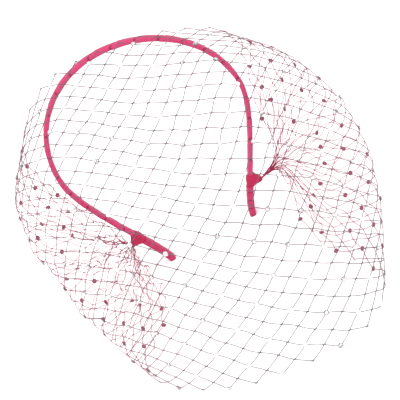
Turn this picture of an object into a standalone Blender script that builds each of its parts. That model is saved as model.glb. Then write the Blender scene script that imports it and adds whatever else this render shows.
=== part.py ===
"""Birdcage veil: a strip of coarse diamond net, gathered at both ends to the legs of a ribbon-wound headband.

Metres, +Z up, the wearer's face towards -Y. The band stands on its two tips and on the net's front edge.
"""

from collections import namedtuple

import bpy
import numpy as np
from mathutils import Matrix, Vector

# Headband: centreline of a flat spring strip wound with ribbon, in an upright plane that is
# turned a little, so that its right leg stands further forward
BAND_HALF_WIDTH = 0.0610
BAND_WIDEST_UP = 0.0840
BAND_CROWN_UP = 0.1450
BAND_CROWN_ASIDE = 0.055
BAND_TURN_DEG = 6.0
LEG_TOP_HANDLE = 0.0242
LEG_TIP_HANDLE = 0.0178
STRIP_WIDTH = 0.0046
STRIP_THICK = 0.0028

# The tips' shares of BAND_HALF_WIDTH from the middle, and how far the legs lean out above them
Leg = namedtuple("Leg", "tip_out flare_deg")
LEG_LEFT = Leg(0.485, 12.0)
LEG_RIGHT = Leg(0.450, 9.0)

# Ribbon laps that show as low ridges along the band
LAP_PITCH = 0.0140
LAP_RISE = 0.00035
LAP_SLANT = 0.45
# Share of the pitch, share of the rise
LAP_PROFILE = [(0.00, 0.00), (0.05, 1.00), (0.40, 0.75), (0.72, 0.35)]

# Thicker ribbon winding over the band's two ends, closed under the tips
END_WRAP_LEFT = 0.0235
END_WRAP_RIGHT = 0.0205
END_WRAP_WALL = 0.00065
TIP_FLOOR = 0.0009
FIT_GAP = 0.0003

# Gather knots: a wound collar round each leg, with a lobe that holds the net's bunched end.
# Rows of KNOT_BULGES: share of the height, share of the full thickness
KNOT_HEIGHT = 0.0080
KNOT_WALL = 0.0011
KNOT_LOBE = 0.0050
KNOT_BULGES = [
    (0.00, 0.45),
    (0.14, 0.85),
    (0.32, 1.00),
    (0.50, 0.88),
    (0.68, 1.00),
    (0.86, 0.85),
    (1.00, 0.45),
]

# Veil: the net as it stands, measured from the band's middle plane, from its front and from the floor
VEIL_HALF_WIDTH = 0.1000
VEIL_REACH = 0.1610
VEIL_HEIGHT = 0.1560
VEIL_LIFT = 0.0006
VEIL_WALL = 0.0012
VEIL_CUT_WIDTH = 0.2150
NECK_WIDTH = 0.0070
NECK_THIN = 0.30
NECK_LEAN_DEG = 38.0

# One row for each rib that runs along the strip, from the lower selvage (0) to the upper one (1).
# Each place holds shares of VEIL_HALF_WIDTH to its own side, VEIL_REACH ahead and VEIL_HEIGHT up;
# the front's side share is to the right. closer draws the columns of diamonds together in front.
Rib = namedtuple(
    "Rib",
    "across closer fan_left fold_left front_left front front_right fold_right fan_right",
)
RIBS = [
    Rib(0.00, 0.00, (0.46, 0.29, 0.03), (0.72, 0.57, 0.00), (0.38, 0.88, 0.00), (0.10, 1.00, 0.00),
        (0.46, 0.99, 0.00), (0.65, 0.84, 0.00), (0.50, 0.44, 0.02)),
    Rib(0.25, 0.12, (0.62, 0.26, 0.14), (0.81, 0.52, 0.19), (0.48, 0.72, 0.35), (0.08, 0.90, 0.32),
        (0.56, 0.87, 0.28), (0.89, 0.64, 0.18), (0.66, 0.33, 0.14)),
    Rib(0.50, 0.17, (0.68, 0.17, 0.27), (0.89, 0.35, 0.43), (0.54, 0.57, 0.64), (0.08, 0.75, 0.61),
        (0.60, 0.66, 0.59), (1.01, 0.45, 0.35), (0.71, 0.22, 0.25)),
    Rib(0.75, 0.17, (0.68, 0.09, 0.38), (0.88, 0.19, 0.64), (0.50, 0.36, 0.85), (0.04, 0.48, 0.83),
        (0.55, 0.41, 0.82), (0.93, 0.29, 0.60), (0.69, 0.12, 0.37)),
    Rib(1.00, 0.10, (0.62, 0.02, 0.46), (0.66, 0.09, 0.79), (0.38, 0.10, 0.97), (0.00, 0.16, 1.00),
        (0.42, 0.12, 0.90), (0.67, 0.11, 0.77), (0.62, 0.09, 0.45)),
]
GRID_ALONG = 361
GRID_ACROSS = 121

# Pleats that take up the net's width where it runs into the knots
PLEATS = 4
PLEAT_STEEPEST = 0.35
PLEAT_ROOM = 0.75
PLEAT_FADE_START = 0.0300
PLEAT_FADE_END = 0.1050

# Coarse diamonds cut through the veil
DIAMONDS_ALONG = 10
DIAMONDS_ACROSS = 8
STRAND_WIDTH = 0.0040
CLOSED_STEPS = 3
STRAND_PIECES = 2
WIDEST_PATCH = 0.40

# Cut stones on the net's crossings
STONE_GIRDLE = 0.0017
STONE_TABLE = 0.0010
STONE_RISE = 0.0013
STONE_SIDES = 8
STONE_ROOM = 1.06

RING_POINTS = 10
SLEEVE_POINTS = 12
KNOT_POINTS = 16
PATH_STEP = 0.0010


def clear_scene():
    """Removes whatever the open file holds."""
    for item in list(bpy.data.objects):
        bpy.data.objects.remove(item, do_unlink=True)


def material(name, colour, roughness):
    """A plain Principled material."""
    made = bpy.data.materials.new(name)
    made.use_nodes = True
    shader = made.node_tree.nodes["Principled BSDF"]
    shader.inputs["Base Color"].default_value = (*colour, 1.0)
    shader.inputs["Roughness"].default_value = roughness
    shader.inputs["Metallic"].default_value = 0.0
    return made


def solid(name, points, faces, finish):
    """Makes one named object from points and outward faces."""
    mesh = bpy.data.meshes.new(name)
    mesh.from_pydata([tuple(point) for point in points], [], faces)
    mesh.validate()
    mesh.update()
    mesh.materials.append(finish)
    mesh.shade_smooth()
    mesh.set_sharp_from_angle(angle=np.radians(35.0))
    made = bpy.data.objects.new(name, mesh)
    bpy.context.collection.objects.link(made)
    return made


def bezier(start, first, second, end, count):
    """Points along a cubic Bezier curve."""
    t = np.linspace(0.0, 1.0, count)[:, None]
    start, first, second, end = (np.array(p, float) for p in (start, first, second, end))
    return (1 - t) ** 3 * start + 3 * t * (1 - t) ** 2 * first + 3 * t**2 * (1 - t) * second + t**3 * end


def leg_line(leg):
    """One leg's centreline (x, z) from its tip up to where the band is widest."""
    flare = np.radians(leg.flare_deg)
    tip = np.array([leg.tip_out * BAND_HALF_WIDTH, 0.0])
    handle = tip + LEG_TIP_HANDLE * np.array([np.sin(flare), np.cos(flare)])
    knee = (BAND_HALF_WIDTH, BAND_WIDEST_UP - LEG_TOP_HANDLE)
    return bezier(tip, handle, knee, (BAND_HALF_WIDTH, BAND_WIDEST_UP), 200)


def band_path():
    """The band's centreline (x, z) from the left tip over the crown to the right tip, evenly
    spaced. The crown's top lies to the left of the middle by the share BAND_CROWN_ASIDE."""
    turn = np.linspace(np.pi, 0.0, 400)[1:-1, None]
    reach = 1.0 + BAND_CROWN_ASIDE * np.sign(np.cos(turn))
    arch = np.concatenate(
        [
            BAND_HALF_WIDTH * (reach * np.cos(turn) - BAND_CROWN_ASIDE),
            BAND_WIDEST_UP + (BAND_CROWN_UP - BAND_WIDEST_UP) * np.sin(turn),
        ],
        axis=1,
    )
    line = np.concatenate([leg_line(LEG_LEFT) * [-1, 1], arch, leg_line(LEG_RIGHT)[::-1]])
    along = np.concatenate([[0.0], np.cumsum(np.linalg.norm(np.diff(line, axis=0), axis=1))])
    at = np.linspace(0.0, along[-1], int(along[-1] / PATH_STEP) + 1)
    line = np.stack([np.interp(at, along, line[:, k]) for k in range(2)], axis=1)
    return at, line


PATH_AT, PATH_LINE = band_path()
PATH_LENGTH = PATH_AT[-1]
BAND_TURN = np.radians(BAND_TURN_DEG)
BAND_SIDEWAYS = np.array([-np.sin(BAND_TURN), -np.cos(BAND_TURN), 0.0])


def on_path(at):
    """Centre, tangent and outward normal of the band's path at distances from the left tip."""
    at = np.asarray(at, float)
    step = 2 * PATH_STEP
    low, high = np.clip(at - step, 0, PATH_LENGTH), np.clip(at + step, 0, PATH_LENGTH)

    def place(where):
        x, z = (np.interp(where, PATH_AT, PATH_LINE[:, k]) for k in range(2))
        return np.stack([x * np.cos(BAND_TURN), -x * np.sin(BAND_TURN), z], axis=-1)

    tangent = place(high) - place(low)
    tangent /= np.linalg.norm(tangent, axis=-1, keepdims=True)
    return place(at), tangent, np.cross(BAND_SIDEWAYS, tangent)


def strip_outline(points, extra=0.0):
    """(outward, sideways) offsets round the wound strip's section, which is a rounded oblong."""
    turn = 2 * np.pi * (np.arange(points) + 0.5) / points
    cosine, sine = np.cos(turn), np.sin(turn)
    squareness = 0.55
    out = np.sign(cosine) * np.abs(cosine) ** squareness * (STRIP_THICK / 2 + extra)
    side = np.sign(sine) * np.abs(sine) ** squareness * (STRIP_WIDTH / 2 + extra)
    return np.stack([out, side], axis=1)


def ring_at(at, outline, slant=0.0):
    """One closed ring of points round the path; slant leans it along the band."""
    centre, _, outward = on_path(at + slant * outline[:, 1])
    return centre + outward * outline[:, :1] + BAND_SIDEWAYS * outline[:, 1:]


def slide_to_height(ring, at, height):
    """Slides a ring along the path's tangent until all of it lies at one height."""
    _, tangent, _ = on_path(np.array([at]))
    return ring + tangent * ((height - ring[:, 2:]) / tangent[0, 2])


def tube_faces(rings, points, start=0, flip=False):
    """Side faces between consecutive rings."""
    faces = []
    for r in range(rings - 1):
        for p in range(points):
            a = start + r * points + p
            b = start + r * points + (p + 1) % points
            face = (a, b, b + points, a + points)
            faces.append(face[::-1] if flip else face)
    return faces


def lap_stations(first, last):
    """Distances along the band where a ring lies, with the rise of the ribbon's lap at each."""
    stations = [(first, 0.0)]
    count = int((last - first) / LAP_PITCH)
    spare = (last - first) - count * LAP_PITCH
    for lap in range(count):
        for share, rise in LAP_PROFILE:
            stations.append((first + spare / 2 + (lap + share) * LAP_PITCH, rise * LAP_RISE))
    stations.append((last, 0.0))
    return stations


def headband(finish):
    """The flat strip with its ribbon winding, from inside one end wrap to inside the other."""
    floor = TIP_FLOOR + FIT_GAP
    left_top = END_WRAP_LEFT + KNOT_HEIGHT + 3 * FIT_GAP
    right_top = END_WRAP_RIGHT + KNOT_HEIGHT + 3 * FIT_GAP
    plain = strip_outline(RING_POINTS)
    left_leg = [ring_at(at, plain) for at in np.linspace(floor, left_top, 8)[:-1]]
    right_leg = [ring_at(PATH_LENGTH - at, plain) for at in np.linspace(floor, right_top, 8)[-2::-1]]
    wound = [
        ring_at(at, strip_outline(RING_POINTS, rise), LAP_SLANT if rise else 0.0)
        for at, rise in lap_stations(left_top, PATH_LENGTH - right_top)
    ]
    rings = left_leg + wound + right_leg
    rings[0] = slide_to_height(rings[0], floor, floor)
    rings[-1] = slide_to_height(rings[-1], PATH_LENGTH - floor, floor)
    faces = tube_faces(len(rings), RING_POINTS)
    top = (len(rings) - 1) * RING_POINTS
    faces.append(tuple(range(RING_POINTS))[::-1])
    faces.append(tuple(range(top, top + RING_POINTS)))
    return solid("headband", np.concatenate(rings), faces, finish)


def end_wrap(name, length, from_left, finish):
    """A sleeve of wound ribbon over one end of the band, closed and flat under the tip."""
    inner_gap, outer_gap = FIT_GAP, FIT_GAP + END_WRAP_WALL
    shares = np.linspace(0.0, 1.0, 8)

    def ring(at, gap, height=None):
        place = at if from_left else PATH_LENGTH - at
        made = ring_at(place, strip_outline(SLEEVE_POINTS, gap))
        return made if height is None else slide_to_height(made, place, height)

    outer = [ring(0.0, outer_gap, 0.0)] + [ring(share * length, outer_gap) for share in shares[1:]]
    inner = [ring(TIP_FLOOR, inner_gap, TIP_FLOOR)]
    inner += [ring(share * length, inner_gap) for share in shares[1:]]
    points = np.concatenate(outer + inner)
    count, rings = SLEEVE_POINTS, len(outer)
    start = rings * count
    faces = tube_faces(rings, count, flip=not from_left)
    faces += tube_faces(rings, count, start, flip=from_left)
    rim = (rings - 1) * count
    for p in range(count):
        q = (p + 1) % count
        face = (rim + p, rim + q, start + rim + q, start + rim + p)
        faces.append(face if from_left else face[::-1])
    bottom, floor = tuple(range(count)), tuple(range(start, start + count))
    faces.append(bottom[::-1] if from_left else bottom)
    faces.append(floor if from_left else floor[::-1])
    return solid(name, points, faces, finish)


def knot_outline(fullness):
    """(outward, sideways) offsets of the knot's skin; its lobe points away from the head."""
    turn = 2 * np.pi * (np.arange(KNOT_POINTS) + 0.5) / KNOT_POINTS
    inner = strip_outline(KNOT_POINTS, FIT_GAP)
    wall = KNOT_WALL + KNOT_LOBE * np.clip(np.cos(turn), 0.0, 1.0) ** 3
    lean = np.stack([np.cos(turn), np.sin(turn)], axis=1)
    return inner + lean * (wall * fullness)[:, None]


def gather_knot(name, wrap_length, from_left, finish):
    """The bound collar round one leg, just above the end wrap."""
    low = wrap_length + FIT_GAP

    def ring(share, outline):
        at = low + share * KNOT_HEIGHT
        return ring_at(at if from_left else PATH_LENGTH - at, outline)

    outer = [ring(share, knot_outline(full)) for share, full in KNOT_BULGES]
    inner = [ring(share, strip_outline(KNOT_POINTS, FIT_GAP)) for share, _ in KNOT_BULGES]
    count, rings = KNOT_POINTS, len(outer)
    start = rings * count
    faces = tube_faces(rings, count, flip=not from_left)
    faces += tube_faces(rings, count, start, flip=from_left)
    for row in (0, (rings - 1) * count):
        for p in range(count):
            q = (p + 1) % count
            face = (row + p, row + q, start + row + q, start + row + p)
            faces.append(face[::-1] if (row == 0) == from_left else face)
    return solid(name, np.concatenate(outer + inner), faces, finish)


def smooth_curve(points, at):
    """A centripetal Catmull-Rom curve through points, read at shares of its length in knots."""
    points = np.asarray(points, float)
    ends = np.concatenate([[2 * points[0] - points[1]], points, [2 * points[-1] - points[-2]]])
    knots = np.concatenate([[0.0], np.cumsum(np.linalg.norm(np.diff(points, axis=0), axis=1) ** 0.5)])
    knots /= knots[-1]
    full = np.concatenate([[-knots[1]], knots, [2.0 - knots[-2]]])
    i = np.clip(np.searchsorted(knots, at, side="right") - 1, 0, len(points) - 2)
    t0, t1, t2, t3 = (full[i + k][:, None] for k in range(4))
    p0, p1, p2, p3 = (ends[i + k] for k in range(4))
    t = np.asarray(at, float)[:, None]
    a1 = (t1 - t) / (t1 - t0) * p0 + (t - t0) / (t1 - t0) * p1
    a2 = (t2 - t) / (t2 - t1) * p1 + (t - t1) / (t2 - t1) * p2
    a3 = (t3 - t) / (t3 - t2) * p2 + (t - t2) / (t3 - t2) * p3
    b1 = (t2 - t) / (t2 - t0) * a1 + (t - t0) / (t2 - t0) * a2
    b2 = (t3 - t) / (t3 - t1) * a2 + (t - t1) / (t3 - t1) * a3
    return (t2 - t) / (t2 - t1) * b1 + (t - t1) / (t2 - t1) * b2


def spread_evenly(curve, count, closer):
    """The curve again with evenly spaced points, drawn together in the middle by the share closer."""
    along = np.concatenate([[0.0], np.cumsum(np.linalg.norm(np.diff(curve, axis=0), axis=1))])
    share = np.linspace(0.0, 1.0, count)
    at = (share + closer * np.sin(2 * np.pi * share) / (2 * np.pi)) * along[-1]
    return np.stack([np.interp(at, along, curve[:, k]) for k in range(3)], axis=1)


def neck(from_left):
    """The bunched end of the net, one point for each rib, against the tip of the knot's lobe."""
    wrap = END_WRAP_LEFT if from_left else END_WRAP_RIGHT
    at = wrap + FIT_GAP + KNOT_HEIGHT / 2
    centre, tangent, outward = on_path(np.array([at if from_left else PATH_LENGTH - at]))
    up = (tangent if from_left else -tangent) * np.cos(np.radians(NECK_LEAN_DEG))
    up = up + np.array([0.0, np.sin(np.radians(NECK_LEAN_DEG)), 0.0])
    lobe = STRIP_THICK / 2 + FIT_GAP + KNOT_WALL + KNOT_LOBE
    middle = centre + outward * (lobe + FIT_GAP)
    across = np.array([rib.across for rib in RIBS])[:, None]
    return middle + up * (across - 0.5) * NECK_WIDTH


def veil_place(rib, station):
    """One place of the table in metres."""
    aside, ahead, up = getattr(rib, station)
    side = -1.0 if station.endswith("left") else 1.0
    return (side * aside * VEIL_HALF_WIDTH, -ahead * VEIL_REACH, VEIL_LIFT + up * VEIL_HEIGHT)


def veil_surface():
    """The net's middle surface as a grid (across, along) of points, without its pleats."""
    across = np.array([rib.across for rib in RIBS])
    fine = np.linspace(0.0, 1.0, GRID_ACROSS)
    stations = [np.array([veil_place(rib, name) for rib in RIBS]) for name in Rib._fields[2:]]
    columns = [neck(True)] + stations + [neck(False)]
    columns = np.stack([smooth_curve(column, fine) for column in columns])
    closer = np.interp(fine, across, [rib.closer for rib in RIBS])
    shares = np.linspace(0.0, 1.0, 4 * GRID_ALONG)
    return np.stack(
        [
            spread_evenly(smooth_curve(columns[:, k], shares), GRID_ALONG, closer[k])
            for k in range(GRID_ACROSS)
        ]
    )


def grid_normals(grid):
    """Outward unit normals of a grid of points."""
    normal = np.cross(np.gradient(grid, axis=1), np.gradient(grid, axis=0))
    return normal / np.maximum(np.linalg.norm(normal, axis=2, keepdims=True), 1e-12)


def pleated(grid):
    """Adds the pleats, as tall as the width that the gather leaves over asks for."""
    width = np.linalg.norm(np.diff(grid, axis=0), axis=2).sum(axis=0)
    wave_length = width / PLEATS
    spare = np.clip(VEIL_CUT_WIDTH / width - 1.0, 0.0, None)
    tall = np.minimum(wave_length / np.pi * np.sqrt(spare), PLEAT_STEEPEST * wave_length)
    # a pleat never bends tighter than the wall's own half thickness
    tall = np.minimum(tall, (wave_length / (2 * np.pi)) ** 2 / (PLEAT_ROOM * VEIL_WALL))
    step = np.linalg.norm(np.diff(grid, axis=1), axis=2).mean(axis=0)
    along = np.concatenate([[0.0], np.cumsum(step)])
    near = np.minimum(along, along[-1] - along)
    tall = tall * np.clip((PLEAT_FADE_END - near) / (PLEAT_FADE_END - PLEAT_FADE_START), 0.0, 1.0)
    across = np.linspace(0.0, 1.0, len(grid))[:, None]
    wave = np.cos(2 * np.pi * PLEATS * across + np.pi / 4)
    return grid - grid_normals(grid) * (tall * wave)[..., None]


def read_grid(grid, along, across):
    """The grid at one place, by shares along and across, with straight lines between its points."""
    u = min(max(along, 0.0), 1.0) * (grid.shape[1] - 1)
    v = min(max(across, 0.0), 1.0) * (grid.shape[0] - 1)
    i = min(int(u), grid.shape[1] - 2)
    j = min(int(v), grid.shape[0] - 2)
    low = grid[j, i] + (u - i) * (grid[j, i + 1] - grid[j, i])
    high = grid[j + 1, i] + (u - i) * (grid[j + 1, i + 1] - grid[j + 1, i])
    return low + (v - j) * (high - low)


class Lattice:
    """The strip's coarse diamonds: columns of steps run along it and rows across it."""

    def __init__(self, middle):
        self.middle = middle
        self.normals = grid_normals(middle)
        self.columns = 2 * DIAMONDS_ALONG
        self.rows = 2 * DIAMONDS_ACROSS
        self.margin = 0.0
        self.margin = self.reach(self.columns // 2, 0)
        self.points = []
        self.index = {}
        self.skin = []
        self.stones = []

    def shares(self, i, j):
        """Shares along and across; the selvages' outermost points lie on the strip's two edges."""
        return i / self.columns, (j + self.margin) / (self.rows + 2 * self.margin)

    def place(self, i, j):
        """The middle surface at a lattice place."""
        return read_grid(self.middle, *self.shares(i, j))

    def normal(self, i, j):
        """The outward unit normal at a lattice place."""
        normal = read_grid(self.normals, *self.shares(i, j))
        return normal / np.linalg.norm(normal)

    def reach(self, i, j):
        """How far a crossing's corners lie from its middle, in steps, for strands of STRAND_WIDTH."""
        i = min(max(i, 1), self.columns - 1)
        j = min(max(j, 1), self.rows - 1)
        along = (self.place(i + 1, j) - self.place(i - 1, j)) / 2
        across = (self.place(i, j + 1) - self.place(i, j - 1)) / 2
        strand = (np.linalg.norm(along + across) + np.linalg.norm(along - across)) / 2
        return min(STRAND_WIDTH / 2 * strand / np.linalg.norm(np.cross(along, across)), WIDEST_PATCH)

    def corners(self, i, j):
        """A crossing's four corners: east, north, west and south."""
        reach = self.reach(i, j)
        east, west = (min(i + reach, self.columns), j), (max(i - reach, 0), j)
        north, south = (i, min(j + reach, self.rows + self.margin)), (i, max(j - reach, -self.margin))
        return east, north, west, south

    def vertex(self, place):
        """The number n of a place's points: 2n on the outer skin and 2n + 1 on the inner one."""
        key = (round(place[0], 5), round(place[1], 5))
        if key not in self.index:
            self.index[key] = len(self.points) // 2
            middle, half = self.place(*place), self.normal(*place) * self.wall(place[0]) / 2
            self.points += [middle + half, middle - half]
        return self.index[key]

    def wall(self, i):
        """The wall's thickness, which thins into the knots."""
        return VEIL_WALL * min(1.0, NECK_THIN + (1.0 - NECK_THIN) * min(i, self.columns - i) / 2)

    def edge(self, first, last):
        """The vertices along one side of a strand."""
        first, last = np.array(first, float), np.array(last, float)
        shares = np.linspace(0.0, 1.0, STRAND_PIECES + 1)
        return [self.vertex(tuple(first + share * (last - first))) for share in shares]

    def strand_sides(self, i, j, rise):
        """Both sides of the strand from a crossing to the next column, upper side first."""
        east, north, _, south = self.corners(i, j)
        _, far_north, far_west, far_south = self.corners(i + 1, j + rise)
        if rise > 0:
            return self.edge(north, far_west), self.edge(east, far_south)
        return self.edge(east, far_north), self.edge(south, far_west)

    def lay_strand(self, i, j, rise):
        """Fills a strand with its pieces."""
        upper, lower = self.strand_sides(i, j, rise)
        for k in range(STRAND_PIECES):
            self.skin.append([lower[k], lower[k + 1], upper[k + 1], upper[k]])

    def lay_closed_diamond(self, i, j):
        """Fills the hole round a place between crossings with a fan, as the bunched net does."""
        above, below = self.vertex(self.corners(i, j + 1)[3]), self.vertex(self.corners(i, j - 1)[1])
        loop = []
        if i > 0:
            loop += self.strand_sides(i - 1, j, -1)[0][::-1] + self.strand_sides(i - 1, j, 1)[1][1:]
        else:
            loop += [below, above]
        if i < self.columns:
            loop += self.strand_sides(i, j + 1, -1)[1][1:] + self.strand_sides(i, j - 1, 1)[0][-2:0:-1]
        middle = self.vertex((i, j))
        for k, here in enumerate(loop):
            after = loop[(k + 1) % len(loop)]
            if {here, after} != {above, below}:
                self.skin.append([middle, after, here])

    def room_for_stone(self, i, j):
        """Radius of the largest circle on a crossing's patch."""
        middle = self.place(i, j)
        spokes = [self.place(*corner) - middle for corner in self.corners(i, j)]
        rims = [(spokes[k], spokes[(k + 1) % 4]) for k in range(4)]
        return min(np.linalg.norm(np.cross(a, b)) / np.linalg.norm(a - b) for a, b in rims)

    def lay_crossing(self, i, j, is_open):
        """Fills the patch where strands cross; a stone stands on it where there is room."""
        east, north, west, south = (self.vertex(corner) for corner in self.corners(i, j))
        corners = list(dict.fromkeys([east, north, west, south]))
        if is_open and i % 2 == 0 and self.room_for_stone(i, j) > STONE_GIRDLE * STONE_ROOM:
            self.stones.append((i, j, corners))
        else:
            self.skin.append(corners)

    def lay_out(self):
        """Lays every crossing, strand and closed diamond."""
        for i in range(self.columns + 1):
            is_open = CLOSED_STEPS <= i <= self.columns - CLOSED_STEPS
            for j in range(self.rows + 1):
                if (i + j) % 2 == 0:
                    self.lay_crossing(i, j, is_open)
                    for rise in (-1, 1):
                        if i < self.columns and 0 <= j + rise <= self.rows:
                            self.lay_strand(i, j, rise)
                elif not is_open and 0 < j < self.rows:
                    self.lay_closed_diamond(i, j)

    def cut_stone(self, i, j, corners):
        """Faces of an eight-sided crown with a flat table on the outer skin of a crossing."""
        normal = self.normal(i, j)
        middle = self.place(i, j) + normal * VEIL_WALL / 2
        spoke = self.points[2 * corners[0]] - middle
        spoke = spoke - normal * np.dot(spoke, normal)
        spoke = spoke / np.linalg.norm(spoke)
        aside = np.cross(normal, spoke)
        first = len(self.points)
        for radius, rise in ((STONE_GIRDLE, 0.0), (STONE_TABLE, STONE_RISE)):
            for turn in 2 * np.pi * np.arange(STONE_SIDES) / STONE_SIDES:
                lean = spoke * np.cos(turn) + aside * np.sin(turn)
                self.points.append(middle + normal * rise + lean * radius)
        girdle = [first + k for k in range(STONE_SIDES)]
        table = [first + STONE_SIDES + k for k in range(STONE_SIDES)]
        faces = [table]
        faces += [[girdle[k - 1], girdle[k], table[k], table[k - 1]] for k in range(STONE_SIDES)]
        outer = [2 * corner for corner in corners]
        for k in range(4):
            here, after = outer[k], outer[(k + 1) % 4]
            left, middle_point, right = girdle[2 * k - 1], girdle[2 * k], girdle[2 * k + 1]
            faces += [[here, middle_point, left], [here, right, middle_point], [here, after, right]]
        return faces

    def solid_mesh(self):
        """Points and outward faces of the closed veil, with walls wherever the skins end."""
        whole = self.skin + [corners for _, _, corners in self.stones]
        edges = {pair for polygon in whole for pair in zip(polygon, polygon[1:] + polygon[:1])}
        faces = [[2 * v for v in polygon] for polygon in self.skin]
        faces += [[2 * v + 1 for v in reversed(polygon)] for polygon in whole]
        faces += [[2 * b, 2 * a, 2 * a + 1, 2 * b + 1] for a, b in sorted(edges) if (b, a) not in edges]
        for stone in self.stones:
            faces += self.cut_stone(*stone)
        return np.array(self.points), faces


def veil_net(finish):
    """The pierced net with its stones, one body from knot to knot."""
    lattice = Lattice(pleated(veil_surface()))
    lattice.lay_out()
    points, faces = lattice.solid_mesh()
    return solid("veil_net", points, faces, finish)


def stand_on_floor(pieces):
    """Moves every piece so that the bottom centre of the whole box is the origin."""
    corners = np.concatenate([[vertex.co[:] for vertex in piece.data.vertices] for piece in pieces])
    low, high = corners.min(axis=0), corners.max(axis=0)
    middle = Vector((low[0] + high[0], low[1] + high[1], 2 * low[2])) / 2
    for piece in pieces:
        piece.data.transform(Matrix.Translation(-middle))


def main():
    """Builds the headband, its end wraps, the two gather knots and the veil."""
    clear_scene()
    satin = material("satin_ribbon", (0.70, 0.05, 0.16), 0.45)
    winding = material("ribbon_winding", (0.62, 0.04, 0.13), 0.50)
    binding = material("gather_binding", (0.45, 0.02, 0.09), 0.60)
    netting = material("veil_netting", (0.80, 0.22, 0.38), 0.55)
    pieces = [
        headband(satin),
        end_wrap("end_wrap_left", END_WRAP_LEFT, True, winding),
        end_wrap("end_wrap_right", END_WRAP_RIGHT, False, winding),
        gather_knot("gather_knot_left", END_WRAP_LEFT, True, binding),
        gather_knot("gather_knot_right", END_WRAP_RIGHT, False, binding),
        veil_net(netting),
    ]
    stand_on_floor(pieces)


main()
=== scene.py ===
"""Birdcage veil: fine diamond net with cut stones, gathered to a ribbon-wound headband.

The net's surface, the band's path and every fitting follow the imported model's frame.
"""

from collections import namedtuple

import bpy
import numpy as np
from bpy.props import FloatProperty, IntProperty, PointerProperty
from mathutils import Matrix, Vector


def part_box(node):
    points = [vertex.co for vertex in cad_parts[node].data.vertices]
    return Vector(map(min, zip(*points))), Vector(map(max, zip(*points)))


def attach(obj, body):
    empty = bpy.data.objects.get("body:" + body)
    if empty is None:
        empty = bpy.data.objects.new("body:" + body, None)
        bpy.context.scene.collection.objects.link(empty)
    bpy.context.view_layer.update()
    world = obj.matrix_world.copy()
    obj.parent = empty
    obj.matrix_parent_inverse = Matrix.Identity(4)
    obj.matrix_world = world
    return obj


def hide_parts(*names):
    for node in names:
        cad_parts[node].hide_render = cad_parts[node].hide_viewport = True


bl_info = {
    "name": "Birdcage Veil",
    "version": (1, 0, 0),
    "blender": (4, 5, 0),
    "location": "View3D > Sidebar > Veil",
    "description": "Builds a birdcage veil on a ribbon-wound headband",
    "category": "Add Mesh",
}

MM = 0.001

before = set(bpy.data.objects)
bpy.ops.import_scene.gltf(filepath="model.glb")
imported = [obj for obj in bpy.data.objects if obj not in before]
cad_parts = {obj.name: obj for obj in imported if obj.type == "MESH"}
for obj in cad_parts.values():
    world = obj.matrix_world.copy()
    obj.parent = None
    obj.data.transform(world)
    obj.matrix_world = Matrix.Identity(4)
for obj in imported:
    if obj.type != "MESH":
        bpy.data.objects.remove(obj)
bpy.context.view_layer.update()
BAND_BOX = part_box("headband")
# The band's middle on the floor: the veil's shape is measured from here
ORIGIN = np.array(
    [(BAND_BOX[0][0] + BAND_BOX[1][0]) / 2, (BAND_BOX[0][1] + BAND_BOX[1][1]) / 2, 0.0]
)

# Headband, in metres: an arch on two legs that bend inwards to the tips, in an upright plane
# that is turned a little, so that the right leg stands further forward
BAND_HALF_WIDTH = 61.0 * MM
BAND_WIDEST_UP = 84.0 * MM
BAND_CROWN_UP = 145.0 * MM
BAND_CROWN_ASIDE = 0.055
BAND_TURN = np.radians(6.0)
BAND_SIDEWAYS = np.array([-np.sin(BAND_TURN), -np.cos(BAND_TURN), 0.0])
LEG_TOP_HANDLE = 24.2 * MM
LEG_TIP_HANDLE = 17.8 * MM
# The tips' shares of the half width from the middle, and the angles at which the legs lean out
Leg = namedtuple("Leg", "tip_out flare")
LEG_LEFT = Leg(0.485, np.radians(12.0))
LEG_RIGHT = Leg(0.450, np.radians(9.0))
END_WRAP_LEFT = 23.5 * MM
END_WRAP_RIGHT = 20.5 * MM
KNOT_HEIGHT = 8.0 * MM
KNOT_REACH = 6.1 * MM
HALF_STRIP = 1.4 * MM
# Points of the curves that the band's path is read from, and the path's even steps
LEG_POINTS = 300
ARCH_POINTS = 600
PATH_STEP = 0.5 * MM
# Gap between the end winding and the knot, and between the knot's tip and the net's end
FITTING_GAP = 0.3 * MM
NECK_GAP = 0.6 * MM
# How far the ribbon stops short of the band's tips, and how high the windings end off the floor
RIBBON_STOP = 2.0 * MM
TIP_LIFT = 0.3 * MM
# Power that makes the strip's section a rounded oblong, and points round it
STRIP_POWER = 0.55
STRIP_POINTS = 24
# What the end winding adds to the strip's width and thickness
END_WIDER = 1.0 * MM
END_THICKER = 1.2 * MM

# A winding: height of a lap's edge, lean of the laps for each metre across, and step along
Winding = namedtuple("Winding", "rise slant step")
BAND_WINDING = Winding(0.35 * MM, 0.45, 0.35 * MM)
END_WINDING = Winding(0.28 * MM, 0.35, 0.20 * MM)
# Shares of a lap: over which its edge rises and its shade fades in, by which its edge bends as
# it goes round, and of its height that it loses up to the next edge
LAP_EDGE = 0.05
LAP_SHADE = 0.07
LAP_BEND = 0.12
LAP_FALL = 0.85
# How uneven the laps' heights are, and how quickly that changes from lap to lap, in radians
LAP_UNEVEN = 0.15
LAP_CHANGE = 2.4

# Knot: points round it and rings along it, its core's section, and how far the collar and the
# lobe stand out from that
KNOT_POINTS = 64
KNOT_RINGS = 90
KNOT_WIDTH = 5.2 * MM
KNOT_THICK = 3.4 * MM
COLLAR_FULL = 0.7 * MM
LOBE_FULL = 5.3 * MM
# Share of its fullness that the knot has at its two ends, and the power of its swelling
KNOT_END = 0.22
KNOT_SWELL = 1.8
# Ridges wound round the knot: how many, shares of its fullness under and in them, and how much
# they bend
KNOT_RIDGES = 9.0
RIDGE_UNDER = 0.90
RIDGE_TALL = 0.14
RIDGE_BEND = 0.6

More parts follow.
